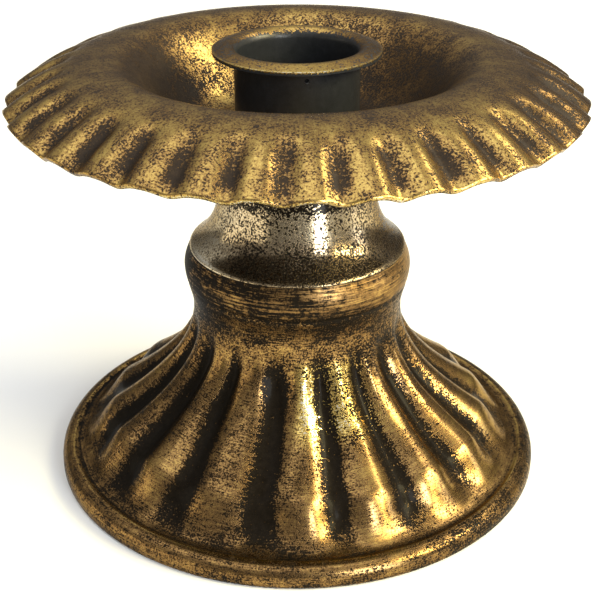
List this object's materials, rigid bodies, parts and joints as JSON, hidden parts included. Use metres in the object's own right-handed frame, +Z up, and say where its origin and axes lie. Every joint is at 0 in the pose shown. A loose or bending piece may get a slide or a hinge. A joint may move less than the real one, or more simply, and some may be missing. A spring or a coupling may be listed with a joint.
{
  "type": "chalice candle holder",
  "caption": "Low chalice-shaped candle holder: fluted bell foot, flared neck, wide drip pan with a fluted skirt and a flared candle socket, clamped by one tie screw.",
  "frame": {"origin": "centre of the foot's rim on the table", "axes": "+Z up along the centre line, -Y towards the viewer"},
  "size_m": [0.1102, 0.1102, 0.0881],
  "materials": {
    "foot_gold": "antique gold rubbed over a black-brown base",
    "neck_gold": "antique gold speckle on a semi-gloss black-brown base",
    "pan_gold": "antique gold on the ridges, dark patina in the valleys",
    "socket_black": "semi-gloss black with a rubbed gold lip",
    "bright_steel": "zinc plated",
    "plated_steel": "zinc plated",
    "spring_steel": "blackened spring steel",
    "nut_steel": "zinc plated"
  },
  "bodies": {
    "stand": {"foot_shell": "foot_gold", "neck_shell": "neck_gold", "tie_screw": "bright_steel", "flat_washer": "plated_steel", "spring_washer": "spring_steel", "hex_nut": "nut_steel"},
    "pan": {"drip_pan": "pan_gold"},
    "socket": {"candle_socket": "socket_black"}
  },
  "joints": [
    {"name": "pan_turn", "type": "hinge", "parent": "stand", "child": "pan", "pos_m": [0, 0, 0.0717], "axis": [0, 0, 1], "continuous": true},
    {"name": "socket_turn", "type": "hinge", "parent": "stand", "child": "socket", "pos_m": [0, 0, 0.0727], "axis": [0, 0, 1], "continuous": true}
  ]
}
